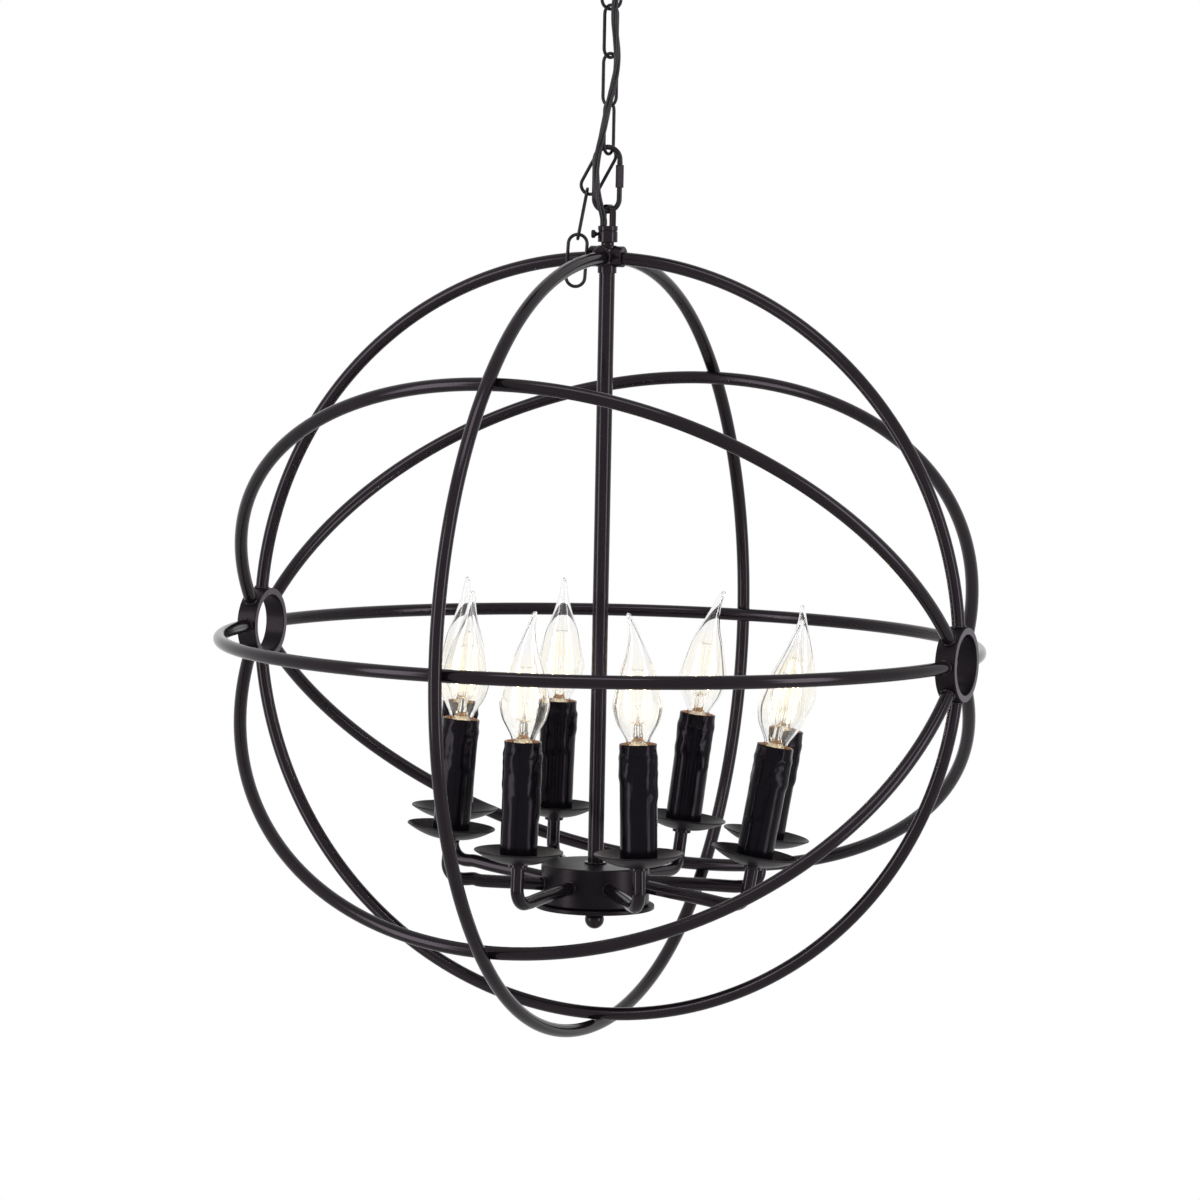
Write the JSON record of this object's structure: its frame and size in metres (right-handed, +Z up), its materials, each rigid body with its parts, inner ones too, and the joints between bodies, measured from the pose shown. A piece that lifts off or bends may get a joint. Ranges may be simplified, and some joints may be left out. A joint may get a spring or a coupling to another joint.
{
  "type": "orb chandelier",
  "caption": "Orb chandelier: a cage of bent steel tube hoops hung on a chain, round a ring of candle lights on curved arms.",
  "frame": {"origin": "middle of the ceiling bracket's top face, against the ceiling", "axes": "+Z up out of the ceiling face; +X from the left side hub to the right one; everything hangs in -Z"},
  "size_m": [0.5622, 0.579, 0.8314],
  "materials": {
    "black_paint": "satin black powder coat with a faint brown tint",
    "wire_black": "thin semi-gloss black on steel wire",
    "candle_black": "glossy black moulded wax drips",
    "cable_black": "smooth black cable sheath",
    "bulb_glass": "clear thin glass",
    "zinc_steel": "plain zinc plate",
    "cap_metal": "rolled screw cap of the bulb",
    "filament": "lit warm filament"
  },
  "bodies": {
    "ceiling": {"ceiling_bracket": "zinc_steel", "hanging_stud": "zinc_steel", "canopy": "black_paint", "canopy_nut": "wire_black", "canopy_loop": "wire_black", "cable_gland": "cable_black", "supply_cable": "cable_black"},
    "link_1": {"chain_link_1": "wire_black"},
    "lower_links": {"chain_link_2": "wire_black", "chain_link_3": "wire_black", "chain_link_4": "wire_black"},
    "spare_1": {"spare_link_1": "wire_black"},
    "spare_2": {"spare_link_2": "wire_black"},
    "spare_3": {"spare_link_3": "wire_black"},
    "quick": {"quick_link": "wire_black"},
    "quick_nut": {"quick_link_nut": "wire_black"},
    "lamp": {"hanging_eye": "black_paint", "grip_collar": "black_paint", "top_hub": "black_paint", "stem_pipe": "black_paint", "body_cup": "black_paint", "cover_plate": "black_paint", "level_hoop_front": "black_paint", "level_hoop_back": "black_paint", "rising_hoop_front": "black_paint", "rising_hoop_back": "black_paint", "falling_hoop_front": "black_paint", "falling_hoop_back": "black_paint", "upright_hoop_right": "black_paint", "upright_hoop_left": "black_paint", "upright_hoop_lower": "black_paint", "outer_hoop": "black_paint", "side_hub_right": "black_paint", "side_hub_left": "black_paint", "light_arm_1": "black_paint", "light_arm_2": "black_paint", "light_arm_3": "black_paint", "light_arm_4": "black_paint", "light_arm_5": "black_paint", "light_arm_6": "black_paint", "light_arm_7": "black_paint", "light_arm_8": "black_paint", "candle_sleeve_1": "candle_black", "candle_sleeve_2": "candle_black", "candle_sleeve_3": "candle_black", "candle_sleeve_4": "candle_black", "candle_sleeve_5": "candle_black", "candle_sleeve_6": "candle_black", "candle_sleeve_7": "candle_black", "candle_sleeve_8": "candle_black"},
    "screw": {"thumb_screw": "black_paint"},
    "finial": {"finial": "black_paint"},
    "bulb_1": {"bulb_1": "bulb_glass"},
    "bulb_2": {"bulb_2": "bulb_glass"},
    "bulb_3": {"bulb_3": "bulb_glass"},
    "bulb_4": {"bulb_4": "bulb_glass"},
    "bulb_5": {"bulb_5": "bulb_glass"},
    "bulb_6": {"bulb_6": "bulb_glass"},
    "bulb_7": {"bulb_7": "bulb_glass"},
    "bulb_8": {"bulb_8": "bulb_glass"}
  },
  "joints": [
    {"name": "link_1_swing", "type": "hinge", "parent": "ceiling", "child": "link_1", "pos_m": [0, 0, -0.05493], "axis": [-0.3907, 0.9205, 0], "range_deg": [-10, 10], "deforming": ["supply_cable"]},
    {"name": "lower_links_swing", "type": "hinge", "parent": "link_1", "child": "lower_links", "pos_m": [-0.00124, 0.00138, -0.0888], "axis": [0.9205, 0.3907, 0], "range_deg": [-10, 10]},
    {"name": "quick_link_swing", "type": "hinge", "parent": "lower_links", "child": "quick", "pos_m": [-0.00124, 0.00138, -0.19245], "axis": [0.1219, 0.9925, 0], "range_deg": [-6, 6]},
    {"name": "quick_link_nut_travel", "type": "slide", "parent": "quick", "child": "quick_nut", "axis": [0, 0, 1], "range_m": [0, 0.004]},
    {"name": "lamp_swing", "type": "hinge", "parent": "quick", "child": "lamp", "pos_m": [-0.0011, -0.00047, -0.2335], "axis": [0.9205, 0.3907, 0], "range_deg": [0, 8]},
    {"name": "thumb_screw_travel", "type": "slide", "parent": "lamp", "child": "screw", "axis": [-0.9205, -0.3907, 0], "range_m": [0, 0.003]},
    {"name": "finial_turn", "type": "hinge", "parent": "lamp", "child": "finial", "pos_m": [0, 0, -0.748], "axis": [0, 0, 1], "continuous": true},
    {"name": "spare_link_1_swing", "type": "hinge", "parent": "lower_links", "child": "spare_1", "pos_m": [-0.00124, 0.00138, -0.19245], "axis": [0.1219, 0.9925, 0], "range_deg": [-6, 6]},
    {"name": "spare_link_2_swing", "type": "hinge", "parent": "spare_1", "child": "spare_2", "pos_m": [-0.01735, -0.00066, -0.22085], "axis": [0.8158, 0.3463, -0.4632], "range_deg": [-12, 0]},
    {"name": "spare_link_3_swing", "type": "hinge", "parent": "spare_2", "child": "spare_3", "pos_m": [-0.01798, -0.01258, -0.25337], "axis": [-0.4203, 0.8595, -0.2909], "range_deg": [-6, 6]},
    {"name": "bulb_1_travel", "type": "slide", "parent": "lamp", "child": "bulb_1", "axis": [0.1519, 0.0645, 0.9863], "range_m": [0, 0.03]},
    {"name": "bulb_2_travel", "type": "slide", "parent": "lamp", "child": "bulb_2", "axis": [0.144, 0.0611, 0.9877], "range_m": [0, 0.03]},
    {"name": "bulb_3_travel", "type": "slide", "parent": "lamp", "child": "bulb_3", "axis": [0.1058, 0.0449, 0.9934], "range_m": [0, 0.03]},
    {"name": "bulb_4_travel", "type": "slide", "parent": "lamp", "child": "bulb_4", "axis": [0.0225, 0.0096, 0.9997], "range_m": [0, 0.03]},
    {"name": "bulb_5_travel", "type": "slide", "parent": "lamp", "child": "bulb_5", "axis": [0.0353, 0.015, 0.9993], "range_m": [0, 0.03]},
    {"name": "bulb_6_travel", "type": "slide", "parent": "lamp", "child": "bulb_6", "axis": [0.069, 0.0293, 0.9972], "range_m": [0, 0.03]},
    {"name": "bulb_7_travel", "type": "slide", "parent": "lamp", "child": "bulb_7", "axis": [0.0209, 0.0089, 0.9997], "range_m": [0, 0.03]},
    {"name": "bulb_8_travel", "type": "slide", "parent": "lamp", "child": "bulb_8", "axis": [-0.0241, -0.0102, 0.9997], "range_m": [0, 0.03]}
  ],
  "couplings": [
    {"joint": "spare_link_1_swing", "follows": "quick_link_swing", "ratio": 1}
  ]
}
